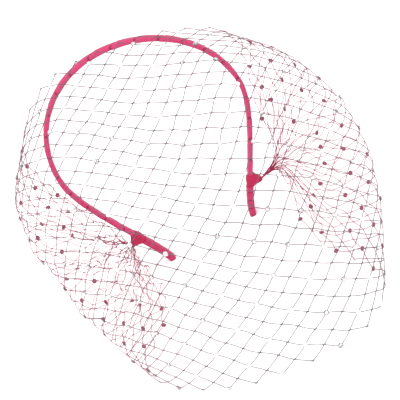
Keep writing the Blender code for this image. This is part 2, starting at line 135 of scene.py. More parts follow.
# Veil: its reach to each side, to the front and up, with its lower edge just off the floor
VEIL_HALF_WIDTH = 100.0 * MM
VEIL_REACH = 161.0 * MM
VEIL_HEIGHT = 156.0 * MM
VEIL_LIFT = 0.6 * MM
CUT_WIDTH = 215.0 * MM
NECK_WIDTH = 7.0 * MM
NECK_LEAN = np.radians(38.0)

# One row for each rib along the strip, from the lower selvage (0) to the upper one (1). Each
# place holds shares of the half width to its own side, of the reach ahead and of the height up.
# closer draws the diamonds' columns together in front.
Rib = namedtuple(
    "Rib",
    "across closer fan_left fold_left front_left front front_right fold_right fan_right",
)
RIBS = [
    Rib(0.00, 0.00, (0.46, 0.29, 0.03), (0.72, 0.57, 0.00), (0.38, 0.88, 0.00), (0.10, 1.00, 0.00),
        (0.46, 0.99, 0.00), (0.65, 0.84, 0.00), (0.50, 0.44, 0.02)),
    Rib(0.25, 0.12, (0.62, 0.26, 0.14), (0.81, 0.52, 0.19), (0.48, 0.72, 0.35), (0.08, 0.90, 0.32),
        (0.56, 0.87, 0.28), (0.89, 0.64, 0.18), (0.66, 0.33, 0.14)),
    Rib(0.50, 0.17, (0.68, 0.17, 0.27), (0.89, 0.35, 0.43), (0.54, 0.57, 0.64), (0.08, 0.75, 0.61),
        (0.60, 0.66, 0.59), (1.01, 0.45, 0.35), (0.71, 0.22, 0.25)),
    Rib(0.75, 0.17, (0.68, 0.09, 0.38), (0.88, 0.19, 0.64), (0.50, 0.36, 0.85), (0.04, 0.48, 0.83),
        (0.55, 0.41, 0.82), (0.93, 0.29, 0.60), (0.69, 0.12, 0.37)),
    Rib(1.00, 0.10, (0.62, 0.02, 0.46), (0.66, 0.09, 0.79), (0.38, 0.10, 0.97), (0.00, 0.16, 1.00),
        (0.42, 0.12, 0.90), (0.67, 0.11, 0.77), (0.62, 0.09, 0.45)),
]
GRID_ALONG = 361
GRID_ACROSS = 121
PLEATS = 4
PLEAT_STEEPEST = 0.35
PLEAT_FADE_START = 30.0 * MM
PLEAT_FADE_END = 105.0 * MM
# Share by which the pleats are lower once they are clear of the knots
PLEAT_SLACK = 0.45

# Finer folds: cycles across and along the net, where the wave starts and how tall it is
Fold = namedtuple("Fold", "across along start tall")
FINE_FOLDS = [Fold(9.0, 13.0, 0.0, 1.0), Fold(14.0, -17.0, 1.0, 0.7)]
FINE_START = 12.0 * MM

# Loose folds by the gathers, one row for each direction of space: cycles across, length along
# and start, then how far out they reach and how tall they are for each crumple
Wander = namedtuple("Wander", "across length start")
WANDERS = [Wander(6.0, 19.0 * MM, 0.0), Wander(4.0, 23.0 * MM, 1.0), Wander(8.0, 15.0 * MM, 2.0)]
WANDER_REACH = 70.0 * MM
WANDER_TALL = 1.6

# The right end is drawn into a rope over this length, by this share of its width at the knot.
# It holds tight first, and it runs nearer the upper selvage by the lean.
ROPE_FADE = 60.0 * MM
ROPE_DRAW = 0.88
ROPE_HOLD = 1.25
ROPE_LEAN = 0.6
NET_LIFT = 0.3 * MM

# The fine net: steps are half diamonds
STEPS_ALONG = 50
STEPS_ACROSS = 41

# How far the crossings are pushed about, in steps, in front and on top of that by the gathers,
# and the shares of the way from a knot to the front over which that starts, stays and fades
WILD_FRONT = 0.10
WILD_GATHER = 0.50
WILD_START = 0.06
WILD_STAY = 0.10
WILD_FADE = 0.45
SELVAGE_STEPS = 2.0
# The waves that push them: turns in radians for each step along and across
Push = namedtuple("Push", "along across start")
PUSH_ALONG = [Push(0.7, 1.9, 0.0), Push(-1.7, 1.1, 2.0)]
PUSH_ACROSS = [Push(2.3, 0.9, 1.0), Push(1.3, -1.6, 0.0)]

# Thread: share of its thickness left at the knots, and how far out it is drawn thin
THIN_SHARE = 0.66
THIN_FADE = 0.45
THREAD_POINTS = 4
THREAD_SIDES = 5
# Knotted crossing: half its length, and its radii in threads at shares of that
BEAD_REACH = 0.9 * MM
BEAD_AT = np.array([-1.0, -0.55, 0.0, 0.55, 1.0])
BEAD_RADII = np.array([0.30, 0.70, 0.85, 0.70, 0.30])
BEAD_SIDES = 6
# The thread's colour deepens within this distance of a knot
BUNCH_REACH = 150.0 * MM

# Cut stone, in shares of its radius: sizes of table and stars, and heights from the setting
TABLE_SIZE = 0.52
TABLE_UP = 0.62
STAR_SIZE = 0.80
STAR_UP = 0.38
GIRDLE_UP = 0.10
GIRDLE_LOW = -0.02
CULET_LOW = -0.35
STONE_SIDES = 8
# How light each group of facets looks, as painted reflection: table, star and main facets, girdle,
# back
FACET_LIGHT = np.array([0.85, 0.80, 0.62, 0.70, 0.50, 0.50, 0.35, 0.35, 0.35, 0.35, 0.30, 0.30])
BACK_GROUP = 10
# Steps by each knot without stones, lift over the net in threads, and least height off the floor
STONELESS_STEPS = 5
STONE_LIFT = 0.9
STONE_FLOOR = 0.1 * MM
# Ranges of painted shade from stone to stone and of painted reflection from facet to facet
STONE_TONE = (-0.35, 0.25)
FACET_TONE = (-0.25, 0.25)

# Satin: width of one thread of the ribbon's weave, and depth of the weave
TWILL = 0.25 * MM
TWILL_DEEP = 0.08 * MM

# Stage: half the floor's side, and the two soft lights
FLOOR_HALF = 3.0
Lamp = namedtuple("Lamp", "name place size power")
LAMPS = [
    Lamp("key_light", (-0.5, -0.7, 1.1), 0.9, 12.0),
    Lamp("fill_light", (0.8, -0.3, 0.9), 1.0, 5.0),
]

# The photograph's view: it looks down at the target and is rolled by 32 degrees
VIEW_ELEVATION = np.radians(30.0)
VIEW_ROLL = np.arctan2(25.0, 40.0)
VIEW_DISTANCE = 0.85
VIEW_TARGET = np.array([4.0, -40.0, 50.0]) * MM
VIEW_FIELD = 0.232
SENSOR = 36.0


def linear(hex_colour):
    """Turns an sRGB hex value into linear RGBA."""
    value = hex_colour.lstrip("#")
    srgb = np.array([int(value[k : k + 2], 16) for k in (0, 2, 4)]) / 255.0
    rgb = np.where(srgb <= 0.04045, srgb / 12.92, ((srgb + 0.055) / 1.055) ** 2.4)
    return (*rgb.tolist(), 1.0)


def add_node(tree, kind, settings=None, inputs=None):
    """Adds a node, sets its settings and its inputs; an input may be a value or a socket."""
    node = tree.nodes.new(kind)
    for name, value in (settings or {}).items():
        setattr(node, name, value)
    for name, value in (inputs or {}).items():
        if isinstance(value, bpy.types.NodeSocket):
            tree.links.new(value, node.inputs[name])
        else:
            node.inputs[name].default_value = value
    return node


def new_material(name):
    """An empty node material: returns it, its tree and its Principled shader."""
    made = bpy.data.materials.new(name)
    made.use_nodes = True
    tree = made.node_tree
    return made, tree, tree.nodes["Principled BSDF"]


def colour_ramp(tree, factor, stops):
    """A colour ramp over (position, hex colour) stops."""
    ramp = add_node(tree, "ShaderNodeValToRGB", inputs={"Fac": factor})
    elements = ramp.color_ramp.elements
    while len(elements) < len(stops):
        elements.new(0.5)
    for element, (position, colour) in zip(elements, stops):
        element.position = position
        element.color = linear(colour)
    return ramp.outputs["Color"]


def new_piece(name, points, faces, material, smooth=True):
    """Makes a mesh object at the origin from arrays of points and faces; faces is a list of
    index arrays, each with three or four columns."""
    mesh = bpy.data.meshes.new(name)
    points = np.asarray(points, np.float32).reshape(-1, 3)
    loops = np.concatenate([np.asarray(block).reshape(-1) for block in faces])
    sizes = np.concatenate([np.full(len(block), np.shape(block)[1]) for block in faces])
    mesh.vertices.add(len(points))
    mesh.vertices.foreach_set("co", points.reshape(-1))
    mesh.loops.add(len(loops))
    mesh.loops.foreach_set("vertex_index", loops.astype(np.int32))
    mesh.polygons.add(len(sizes))
    starts = np.concatenate([[0], np.cumsum(sizes)[:-1]])
    mesh.polygons.foreach_set("loop_start", starts.astype(np.int32))
    mesh.polygons.foreach_set("loop_total", sizes.astype(np.int32))
    mesh.polygons.foreach_set("use_smooth", np.full(len(sizes), smooth))
    mesh.update(calc_edges=True)
    mesh.validate()
    mesh.materials.append(material)
    piece = bpy.data.objects.new(name, mesh)
    bpy.context.scene.collection.objects.link(piece)
    return piece


def point_attribute(piece, name, values):
    """Stores one number per point."""
    layer = piece.data.attributes.new(name, "FLOAT", "POINT")
    layer.data.foreach_set("value", np.asarray(values, np.float32).reshape(-1))


def unit(vectors):
    """Vectors scaled to length one."""
    return vectors / np.maximum(np.linalg.norm(vectors, axis=-1, keepdims=True), 1e-12)


# Shapes shared by the net, the band and the knots


def smooth_curve(points, at):
    """A centripetal Catmull-Rom curve: each span is blended from its four nearest points, with
    knots spaced by the square root of the chords. points is (n, ..., 3); at holds shares."""
    points = np.asarray(points, float)
    ends = np.concatenate([[2 * points[0] - points[1]], points, [2 * points[-1] - points[-2]]])
    chords = np.linalg.norm(np.diff(points, axis=0), axis=-1) ** 0.5
    knots = np.concatenate([np.zeros((1, *chords.shape[1:])), np.cumsum(chords, axis=0)])
    knots = knots / knots[-1]
    full = np.concatenate([-knots[1:2], knots, 2.0 - knots[-2:-1]])
    at = np.asarray(at, float).reshape((-1,) + (1,) * (knots.ndim - 1))
    i = np.clip((knots[None] <= at[:, None]).sum(axis=1) - 1, 0, len(points) - 2)
    t0, t1, t2, t3 = (np.take_along_axis(full, i + k, axis=0)[..., None] for k in range(4))
    p0, p1, p2, p3 = (np.take_along_axis(ends, (i + k)[..., None], axis=0) for k in range(4))
    t = at[..., None]
    a1 = (t1 - t) / (t1 - t0) * p0 + (t - t0) / (t1 - t0) * p1
    a2 = (t2 - t) / (t2 - t1) * p1 + (t - t1) / (t2 - t1) * p2
    a3 = (t3 - t) / (t3 - t2) * p2 + (t - t2) / (t3 - t2) * p3
    b1 = (t2 - t) / (t2 - t0) * a1 + (t - t0) / (t2 - t0) * a2
    b2 = (t3 - t) / (t3 - t1) * a2 + (t - t1) / (t3 - t1) * a3
    return (t2 - t) / (t2 - t1) * b1 + (t - t1) / (t2 - t1) * b2


def leg_line(leg):
    """A leg's centreline in the band's plane, from its tip up: a cubic Bezier curve."""
    tip = np.array([leg.tip_out * BAND_HALF_WIDTH, 0.0])
    handle = tip + LEG_TIP_HANDLE * np.array([np.sin(leg.flare), np.cos(leg.flare)])
    shoulder = np.array([BAND_HALF_WIDTH, BAND_WIDEST_UP])
    knee = shoulder - np.array([0.0, LEG_TOP_HANDLE])
    t = np.linspace(0.0, 1.0, LEG_POINTS)[:, None]
    lower = (1 - t) ** 3 * tip + 3 * t * (1 - t) ** 2 * handle
    return lower + 3 * t**2 * (1 - t) * knee + t**3 * shoulder


def band_path():
    """The band's centreline from the left tip over the crown to the right tip, at even steps:
    two legs, and between them two quarters of ellipses that meet at the crown. Returns distances
    and points."""
    turn = np.linspace(np.pi, 0.0, ARCH_POINTS)[1:-1, None]
    reach = 1.0 + BAND_CROWN_ASIDE * np.sign(np.cos(turn))
    across = BAND_HALF_WIDTH * (reach * np.cos(turn) - BAND_CROWN_ASIDE)
    rise = BAND_CROWN_UP - BAND_WIDEST_UP
    arch = np.concatenate([across, BAND_WIDEST_UP + rise * np.sin(turn)], axis=1)
    line = np.concatenate([leg_line(LEG_LEFT) * [-1, 1], arch, leg_line(LEG_RIGHT)[::-1]])
    along = np.concatenate([[0.0], np.cumsum(np.linalg.norm(np.diff(line, axis=0), axis=1))])
    at = np.linspace(0.0, along[-1], int(along[-1] / PATH_STEP) + 1)
    x, z = (np.interp(at, along, line[:, k]) for k in range(2))
    return at, np.stack([x * np.cos(BAND_TURN), -x * np.sin(BAND_TURN), z], axis=1) + ORIGIN


PATH_AT, PATH = band_path()
PATH_LENGTH = PATH_AT[-1]


def on_band(at):
    """Centre, tangent and outward direction of the band at distances from the left tip."""
    at = np.asarray(at, float)
    reach = 2.0 * MM

    def place(where):
        inside = np.clip(where, 0.0, PATH_LENGTH)
        return np.stack([np.interp(inside, PATH_AT, PATH[:, k]) for k in range(3)], axis=-1)

    tangent = unit(place(at + reach) - place(at - reach))
    beyond = (at - np.clip(at, 0.0, PATH_LENGTH))[..., None]
    return place(at) + tangent * beyond, tangent, np.cross(BAND_SIDEWAYS, tangent)


def neck_points(from_left):
    """The net's bunched end, one point for each rib, just off the tip of the gather knot."""
    at = (END_WRAP_LEFT if from_left else END_WRAP_RIGHT) + FITTING_GAP + KNOT_HEIGHT / 2
    centre, tangent, outward = on_band(np.array([at if from_left else PATH_LENGTH - at]))
    up = (tangent if from_left else -tangent) * np.cos(NECK_LEAN)
    up = up + np.array([0.0, np.sin(NECK_LEAN), 0.0])
    shares = np.array([rib.across for rib in RIBS])[:, None]
    reach = KNOT_REACH + HALF_STRIP + NECK_GAP
    return centre + outward * reach + up * (shares - 0.5) * NECK_WIDTH


def table_points(station):
    """One station of the table in metres, one point for each rib."""
    side = -1.0 if station.endswith("left") else 1.0
    shares = np.array([getattr(rib, station) for rib in RIBS])
    scale = np.array([side * VEIL_HALF_WIDTH, -VEIL_REACH, VEIL_HEIGHT])
    return shares * scale + ORIGIN + [0.0, 0.0, VEIL_LIFT]


def veil_surface():
    """The net's middle surface, a grid (across, along): each station's column is smoothed from
    selvage to selvage, each row is smoothed from knot to knot and spaced evenly by its length."""
    fine = np.linspace(0.0, 1.0, GRID_ACROSS)
    stations = [table_points(name) for name in Rib._fields[2:]]
    columns = [neck_points(True), *stations, neck_points(False)]
    columns = np.stack([smooth_curve(column, fine) for column in columns])
    rows = smooth_curve(columns, np.linspace(0.0, 1.0, 4 * GRID_ALONG))
    steps = np.linalg.norm(np.diff(rows, axis=0), axis=2)
    along = np.concatenate([np.zeros((1, GRID_ACROSS)), np.cumsum(steps, axis=0)])
    closer = np.interp(fine, [rib.across for rib in RIBS], [rib.closer for rib in RIBS])
    share = np.linspace(0.0, 1.0, GRID_ALONG)
    at = share[:, None] + closer * np.sin(2 * np.pi * share[:, None]) / (2 * np.pi)
    grid = np.empty((GRID_ACROSS, GRID_ALONG, 3))
    for row in range(GRID_ACROSS):
        where = at[:, row] * along[-1, row]
        for axis in range(3):
            grid[row, :, axis] = np.interp(where, along[:, row], rows[:, row, axis])
    return grid


def grid_normals(grid):
    """Outward unit normals of a grid of points."""
    return unit(np.cross(np.gradient(grid, axis=1), np.gradient(grid, axis=0)))


def pleated(grid, crumple):
    """Folds the surface near the knots: a cosine wave across, wave length / pi * sqrt(cut width
    / width - 1) tall, which takes up the cut width that the gather leaves over; finer waves of
    the height crumple; and loose folds that wander in all directions."""
    width = np.linalg.norm(np.diff(grid, axis=0), axis=2).sum(axis=0)
    wave_length = width / PLEATS
    spare = np.clip(CUT_WIDTH / width - 1.0, 0.0, None)
    tall = np.minimum(wave_length / np.pi * np.sqrt(spare), PLEAT_STEEPEST * wave_length)
    step = np.linalg.norm(np.diff(grid, axis=1), axis=2).mean(axis=0)
    along = np.concatenate([[0.0], np.cumsum(step)])
    near = np.minimum(along, along[-1] - along)
    fade = np.clip((PLEAT_FADE_END - near) / (PLEAT_FADE_END - PLEAT_FADE_START), 0.0, 1.0)
    tall = tall * fade * (1.0 - PLEAT_SLACK * np.clip(near / PLEAT_FADE_START, 0.0, 1.0))
    across = np.linspace(0.0, 1.0, len(grid))[:, None]
    share = np.linspace(0.0, 1.0, grid.shape[1])[None, :]
    wave = np.cos(2 * np.pi * PLEATS * across + np.pi / 4)
    fine = sum(
        fold.tall * np.sin(2 * np.pi * (fold.across * across + fold.along * share) + fold.start)
        for fold in FINE_FOLDS
    )
    grow = np.clip(near / FINE_START, 0.0, 1.0)
    lift = tall * wave + crumple * fine * fade * grow
    grid = grid - grid_normals(grid) * lift[..., None]
    # close to the knots the folds also fall over each other, so they wander in all directions
    wander = np.stack(
        [np.sin(2 * np.pi * (w.across * across + near / w.length) + w.start) for w in WANDERS],
        axis=-1,
    )
    close = np.clip((WANDER_REACH - near) / WANDER_REACH, 0.0, 1.0)
    return grid + wander * (WANDER_TALL * crumple * grow * close**0.5)[None, :, None]


def pinched(grid):
    """Draws the net's right end together into a rope: each column near the knot shrinks towards
    its weighted middle, by the share ROPE_DRAW * f^2 * (3 - 2 f), where f fades out with the
    distance from the knot."""
    heavy = 1.0 + np.linspace(-ROPE_LEAN, ROPE_LEAN, len(grid))[:, None, None]
    middle = (grid * heavy).mean(axis=0, keepdims=True)
    step = np.linalg.norm(np.diff(middle[0], axis=0), axis=1)
    left = np.concatenate([[0.0], np.cumsum(step)])
    from_knot = left[-1] - left
    fade = np.clip(ROPE_HOLD * (1.0 - from_knot / ROPE_FADE), 0.0, 1.0)
    share = ROPE_DRAW * fade**2 * (3.0 - 2.0 * fade)
    return middle + (grid - middle) * (1.0 - share)[None, :, None]


def above_floor(grid):
    """Lifts whatever a fold takes below the floor."""
    grid[..., 2] = np.maximum(grid[..., 2], ORIGIN[2] + VEIL_LIFT + NET_LIFT)
    return grid


def read_grid(grid, along, across):
    """A grid read at shares along and across, with straight blends between its points."""
    u = np.clip(along, 0.0, 1.0) * (grid.shape[1] - 1)
    v = np.clip(across, 0.0, 1.0) * (grid.shape[0] - 1)
    i = np.minimum(u.astype(int), grid.shape[1] - 2)
    j = np.minimum(v.astype(int), grid.shape[0] - 2)
    fu, fv = (u - i)[..., None], (v - j)[..., None]
    low = grid[j, i] * (1 - fu) + grid[j, i + 1] * fu
    high = grid[j + 1, i] * (1 - fu) + grid[j + 1, i + 1] * fu
    return low * (1 - fv) + high * fv


def tubes(lines, radii, sides, start_normal, closed_ends=True):
    """Round threads along many lines at once. lines is (threads, points, 3), radii matches it;
    each ring is a circle across the local tangent, and each end closes on a middle point."""
    threads, count, _ = lines.shape
    tangent = unit(np.gradient(lines, axis=1))
    first = unit(start_normal - tangent * (start_normal * tangent).sum(-1, keepdims=True))
    second = np.cross(tangent, first)
    turn = 2 * np.pi * np.arange(sides) / sides
    ring = first[:, :, None] * np.cos(turn)[:, None] + second[:, :, None] * np.sin(turn)[:, None]
    points = lines[:, :, None] + ring * radii[:, :, None, None]
    index = np.arange(threads * count * sides).reshape(threads, count, sides)
    a, b = index[:, :-1], np.roll(index, -1, axis=2)[:, :-1]
    c, d = np.roll(index, -1, axis=2)[:, 1:], index[:, 1:]
    faces = [np.stack([a, b, c, d], axis=-1).reshape(-1, 4)]
    points = points.reshape(-1, 3)
    if closed_ends:
        caps = len(points) + np.arange(2 * threads).reshape(2, threads)
        points = np.concatenate([points, lines[:, 0], lines[:, -1]])
        head, tail = index[:, 0], index[:, -1]
        middle = np.repeat(caps[0][:, None], sides, axis=1)
        faces.append(np.stack([middle, np.roll(head, -1, axis=1), head], axis=-1).reshape(-1, 3))
        middle = np.repeat(caps[1][:, None], sides, axis=1)
        faces.append(np.stack([middle, tail, np.roll(tail, -1, axis=1)], axis=-1).reshape(-1, 3))
    return points, faces


def joined(parts):
    """Joins several (points, faces) meshes into one."""
    points, faces, start = [], [], 0
    for some_points, some_faces in parts:
        points.append(some_points)
        faces += [block + start for block in some_faces]
        start += len(some_points)
    return np.concatenate(points), faces


def nearness(i):
    """Share of the way from the nearer knot (0) to the middle of the front (1) at a step."""
    return 1.0 - np.abs(2.0 * np.asarray(i) / STEPS_ALONG - 1.0)


class Net:
    """The fine lattice on the pleated surface."""

    def __init__(self, crumple):
        self.grid = above_floor(pinched(pleated(veil_surface(), crumple)))
        self.normals = grid_normals(self.grid)
        i, j = np.meshgrid(np.arange(STEPS_ALONG + 1), np.arange(STEPS_ACROSS + 1), indexing="ij")
        crossing = (i + j) % 2 == 0
        self.i, self.j = i[crossing], j[crossing]

    def shares(self, i, j):
        """Shares along and across at lattice steps: crossed waves push the crossings about, most
        by the gathers and not across the selvages, so that no two cells are alike."""
        i, j = np.asarray(i, float), np.asarray(j, float)
        near = nearness(i)
        wild = WILD_GATHER * np.clip(1.0 - (near - WILD_STAY) / WILD_FADE, 0.0, 1.0)
        wild = (WILD_FRONT + wild) * np.clip(near / WILD_START, 0.0, 1.0)
        edge = np.clip(np.minimum(j, STEPS_ACROSS - j) / SELVAGE_STEPS, 0.0, 1.0)
        push_i, push_j = (
            sum(np.sin(push.along * i + push.across * j + push.start) for push in pushes)
            for pushes in (PUSH_ALONG, PUSH_ACROSS)
        )
        along = (i + 0.5 * wild * push_i) / STEPS_ALONG
        return along, (j + 0.5 * wild * edge * push_j) / STEPS_ACROSS

    def place(self, i, j):
        """Points of the surface at lattice steps."""
        return read_grid(self.grid, *self.shares(i, j))

    def normal(self, i, j):
        """Outward normals at lattice steps."""
        return unit(read_grid(self.normals, *self.shares(i, j)))


# Materials


def net_thread_material(front, side, deep):
    """Dyed nylon net thread with painted light: pale and greyish where a single thread stands in
    the light, pink where the net folds over itself, and crimson where it is bunched."""
    made, tree, shader = new_material("net_thread_dye_and_painted_light")
    bunch = add_node(tree, "ShaderNodeAttribute", {"attribute_name": "bunch"})
    noise = add_node(tree, "ShaderNodeTexNoise", inputs={"Scale": 90.0, "Detail": 2.0})
    coordinates = add_node(tree, "ShaderNodeTexCoord")
    tree.links.new(coordinates.outputs["Object"], noise.inputs["Vector"])
    shade = add_node(
        tree,
        "ShaderNodeMath",
        {"operation": "MULTIPLY_ADD"},
        {0: noise.outputs["Fac"], 1: 0.25, 2: bunch.outputs["Fac"]},
    )
    # painted light: the pale grey front colour stands for single threads in the light
    tint = colour_ramp(tree, shade.outputs["Value"], [(0.12, front), (0.52, side), (1.02, deep)])
    tree.links.new(tint, shader.inputs["Base Color"])
    shader.inputs["Roughness"].default_value = 0.6
    shader.inputs["Specular IOR Level"].default_value = 0.3
    return made


def ribbon_material(name, colour, deep, pitch):
    """Woven polyester satin: a fine twill of threads across the ribbon with a soft silky sheen,
    darker in the shadow under each lap's edge."""
    made, tree, shader = new_material(name)
    lap = add_node(tree, "ShaderNodeAttribute", {"attribute_name": "lap"})
    edge = add_node(tree, "ShaderNodeAttribute", {"attribute_name": "edge"})
    coordinates = add_node(tree, "ShaderNodeTexCoord")
    noise = add_node(
        tree,
        "ShaderNodeTexNoise",
        inputs={"Vector": coordinates.outputs["Object"], "Scale": 420.0, "Detail": 4.0},
    )
    # the weave's threads, drawn along the wound direction
    weave = add_node(
        tree,
        "ShaderNodeMath",
        {"operation": "MULTIPLY"},
        {0: lap.outputs["Fac"], 1: 2 * np.pi * pitch / TWILL},
    )
    ribs = add_node(tree, "ShaderNodeMath", {"operation": "SINE"}, {0: weave.outputs["Value"]})
    mixed = add_node(
        tree,
        "ShaderNodeMath",
        {"operation": "MULTIPLY_ADD"},
        {0: noise.outputs["Fac"], 1: 0.5, 2: edge.outputs["Fac"]},
    )
    tint = colour_ramp(tree, mixed.outputs["Value"], [(0.15, colour), (1.1, deep)])
    tree.links.new(tint, shader.inputs["Base Color"])
    bump = add_node(
        tree,
        "ShaderNodeBump",
        inputs={"Strength": 0.25, "Distance": TWILL_DEEP, "Height": ribs.outputs["Value"]},
    )
    tree.links.new(bump.outputs["Normal"], shader.inputs["Normal"])
    shader.inputs["Roughness"].default_value = 0.5
    shader.inputs["Specular IOR Level"].default_value = 0.25
    shader.inputs["Sheen Weight"].default_value = 0.08
    return made


def knot_material(name):
    """Bunched nylon net bound with sewing thread: dark crimson in the grooves, where little
    light gets in, and matt brighter ridges."""
    made, tree, shader = new_material(name)
    shade = add_node(tree, "ShaderNodeAttribute", {"attribute_name": "groove"})
    stops = [(0.0, "#760A2E"), (0.6, "#A4143E"), (1.0, "#BC2454")]
    tint = colour_ramp(tree, shade.outputs["Fac"], stops)
    tree.links.new(tint, shader.inputs["Base Color"])
    shader.inputs["Roughness"].default_value = 0.6
    shader.inputs["Specular IOR Level"].default_value = 0.25
    return made


def stone_material():
    """Cut glass over foil: clear facets, each a flat grey from near black to white, because
    each one mirrors another part of the room."""
    made, tree, shader = new_material("foiled_cut_glass")
    spark = add_node(tree, "ShaderNodeAttribute", {"attribute_name": "facet"})
    stops = [(0.0, "#1C181A"), (0.3, "#7C7478"), (0.6, "#D8D3D5"), (1.0, "#FFFFFF")]
    tint = colour_ramp(tree, spark.outputs["Fac"], stops)
    tree.links.new(tint, shader.inputs["Base Color"])
    shader.inputs["Roughness"].default_value = 0.06
    shader.inputs["Metallic"].default_value = 0.35
    shader.inputs["IOR"].default_value = 1.54
    return made


def back_material():
    """Painted foil cup on the stone's back, dyed with the net: dull maroon where the net is
    seen from inside."""
    made, tree, shader = new_material("lacquered_foil_back")
    coordinates = add_node(tree, "ShaderNodeTexCoord")
    noise = add_node(
        tree,
        "ShaderNodeTexNoise",
        inputs={"Vector": coordinates.outputs["Object"], "Scale": 300.0, "Detail": 3.0},
    )
    tint = colour_ramp(tree, noise.outputs["Fac"], [(0.3, "#64283C"), (0.7, "#8E4058")])
    tree.links.new(tint, shader.inputs["Base Color"])
    shader.inputs["Roughness"].default_value = 0.35
    return made


# Settings shown in the panel


class VeilSettings(bpy.types.PropertyGroup):
    """Sizes of the net's thread, of its folds and of its stones."""

    thread: FloatProperty(
        name="Thread", description="Diameter of the net's thread", default=0.44 * MM, unit="LENGTH"
    )
    crumple: FloatProperty(
        name="Crumple",
        description="Height of the fine folds by the gathers",
        default=1.3 * MM,
        unit="LENGTH",
    )
    stone: FloatProperty(
        name="Stone", description="Diameter of a cut stone", default=2.9 * MM, unit="LENGTH"
    )
    stone_spacing: IntProperty(
        name="Stone spacing", description="Crossings from one stone to the next", default=4
    )


class BandSettings(bpy.types.PropertyGroup):
    """Sizes of the band's windings."""

    strip_width: FloatProperty(
        name="Width", description="Width of the wound band", default=4.6 * MM, unit="LENGTH"
    )
    strip_thickness: FloatProperty(
        name="Thickness", description="Thickness of the wound band", default=2.8 * MM, unit="LENGTH"
    )
    lap: FloatProperty(
        name="Lap",
        description="Distance from one lap's edge to the next",
        default=14.0 * MM,
        unit="LENGTH",
    )
    end_lap: FloatProperty(
        name="End lap",
        description="The same on the thicker end windings",
        default=5.5 * MM,
        unit="LENGTH",
    )


def rest_on_root(piece, slot, *nodes):
    """Lets a piece ride on the body and stand for CAD nodes; slot is not used."""
    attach(piece, "root")
    if nodes:
        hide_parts(*nodes)


# The net and its stones


def drawn_thin(i):
    """Share of the thread's thickness: pulled tight, it thins towards the two knots."""
    return THIN_SHARE + (1.0 - THIN_SHARE) * np.clip(nearness(i) / THIN_FADE, 0.0, 1.0)


def net_threads(net, thread):
    """Threads from crossing to crossing, laid on the surface, and a knot on each crossing: an
    oval bead drawn out along the strip. A thread's open ends lie in the beads."""
    parts = []
    shares = np.linspace(0.0, 1.0, THREAD_POINTS)
    for rise in (-1, 1):
        far = net.j + rise
        inside = (net.i < STEPS_ALONG) & (far >= 0) & (far <= STEPS_ACROSS)
        i, j = net.i[inside], net.j[inside]
        at_i = i[:, None] + shares
        at_j = j[:, None] + rise * shares
        lines = net.place(at_i, at_j)
        radii = thread / 2 * drawn_thin(at_i)
        normals = net.normal(at_i, at_j)
        parts.append(tubes(lines, radii, THREAD_SIDES, normals, closed_ends=False))
    lead = unit(net.place(net.i + 0.5, net.j) - net.place(net.i - 0.5, net.j))
    middle = net.place(net.i, net.j)
    lines = middle[:, None] + lead[:, None] * (BEAD_REACH * BEAD_AT)[:, None]
    radii = thread * drawn_thin(net.i)[:, None] * BEAD_RADII
    normals = np.repeat(net.normal(net.i, net.j)[:, None], len(BEAD_AT), axis=1)
    parts.append(tubes(lines, radii, BEAD_SIDES, normals))
    return joined(parts)


def stone_cut(radius):
    """A round brilliant: an eight-sided table, star and main crown facets, a girdle and a flat
    pointed back. Returns points, triangles and a number for each triangle's group."""
    k = np.arange(STONE_SIDES)
    turn = 2 * np.pi * k / STONE_SIDES
    half = turn + np.pi / STONE_SIDES

    def ring(angles, size, height):
        level = np.full(STONE_SIDES, height)
        return radius * np.stack([size * np.cos(angles), size * np.sin(angles), level], axis=1)

    points = np.concatenate(
        [
            ring(turn, TABLE_SIZE, TABLE_UP),
            ring(half, STAR_SIZE, STAR_UP),
            ring(turn, 1.0, GIRDLE_UP),
            ring(half, 1.0, GIRDLE_UP),
            ring(turn, 1.0, GIRDLE_LOW),
            ring(half, 1.0, GIRDLE_LOW),
            [[0.0, 0.0, TABLE_UP * radius], [0.0, 0.0, CULET_LOW * radius]],
        ]
    )
    # point numbers: six rings, then the middles of the table and of the back
    table, star, main, rim, low, low_half = (STONE_SIDES * level + k for level in range(6))
    next_table, next_main, next_low = (np.roll(ring, -1) for ring in (table, main, low))
    top, culet = np.full((2, STONE_SIDES), [[6 * STONE_SIDES], [6 * STONE_SIDES + 1]])
    faces = [
        (top, table, next_table),
        (table, star, next_table),
        (table, main, star),
        (star, next_main, next_table),
        (star, main, rim),
        (star, rim, next_main),
        (main, low, rim),
        (low, low_half, rim),
        (rim, low_half, next_main),
        (low_half, next_low, next_main),
        (culet, low_half, low),
        (culet, next_low, low_half),
    ]
    triangles = np.concatenate([np.stack(face, axis=1) for face in faces])
    group = np.repeat(np.arange(len(faces)), STONE_SIDES)
    return points, triangles, group


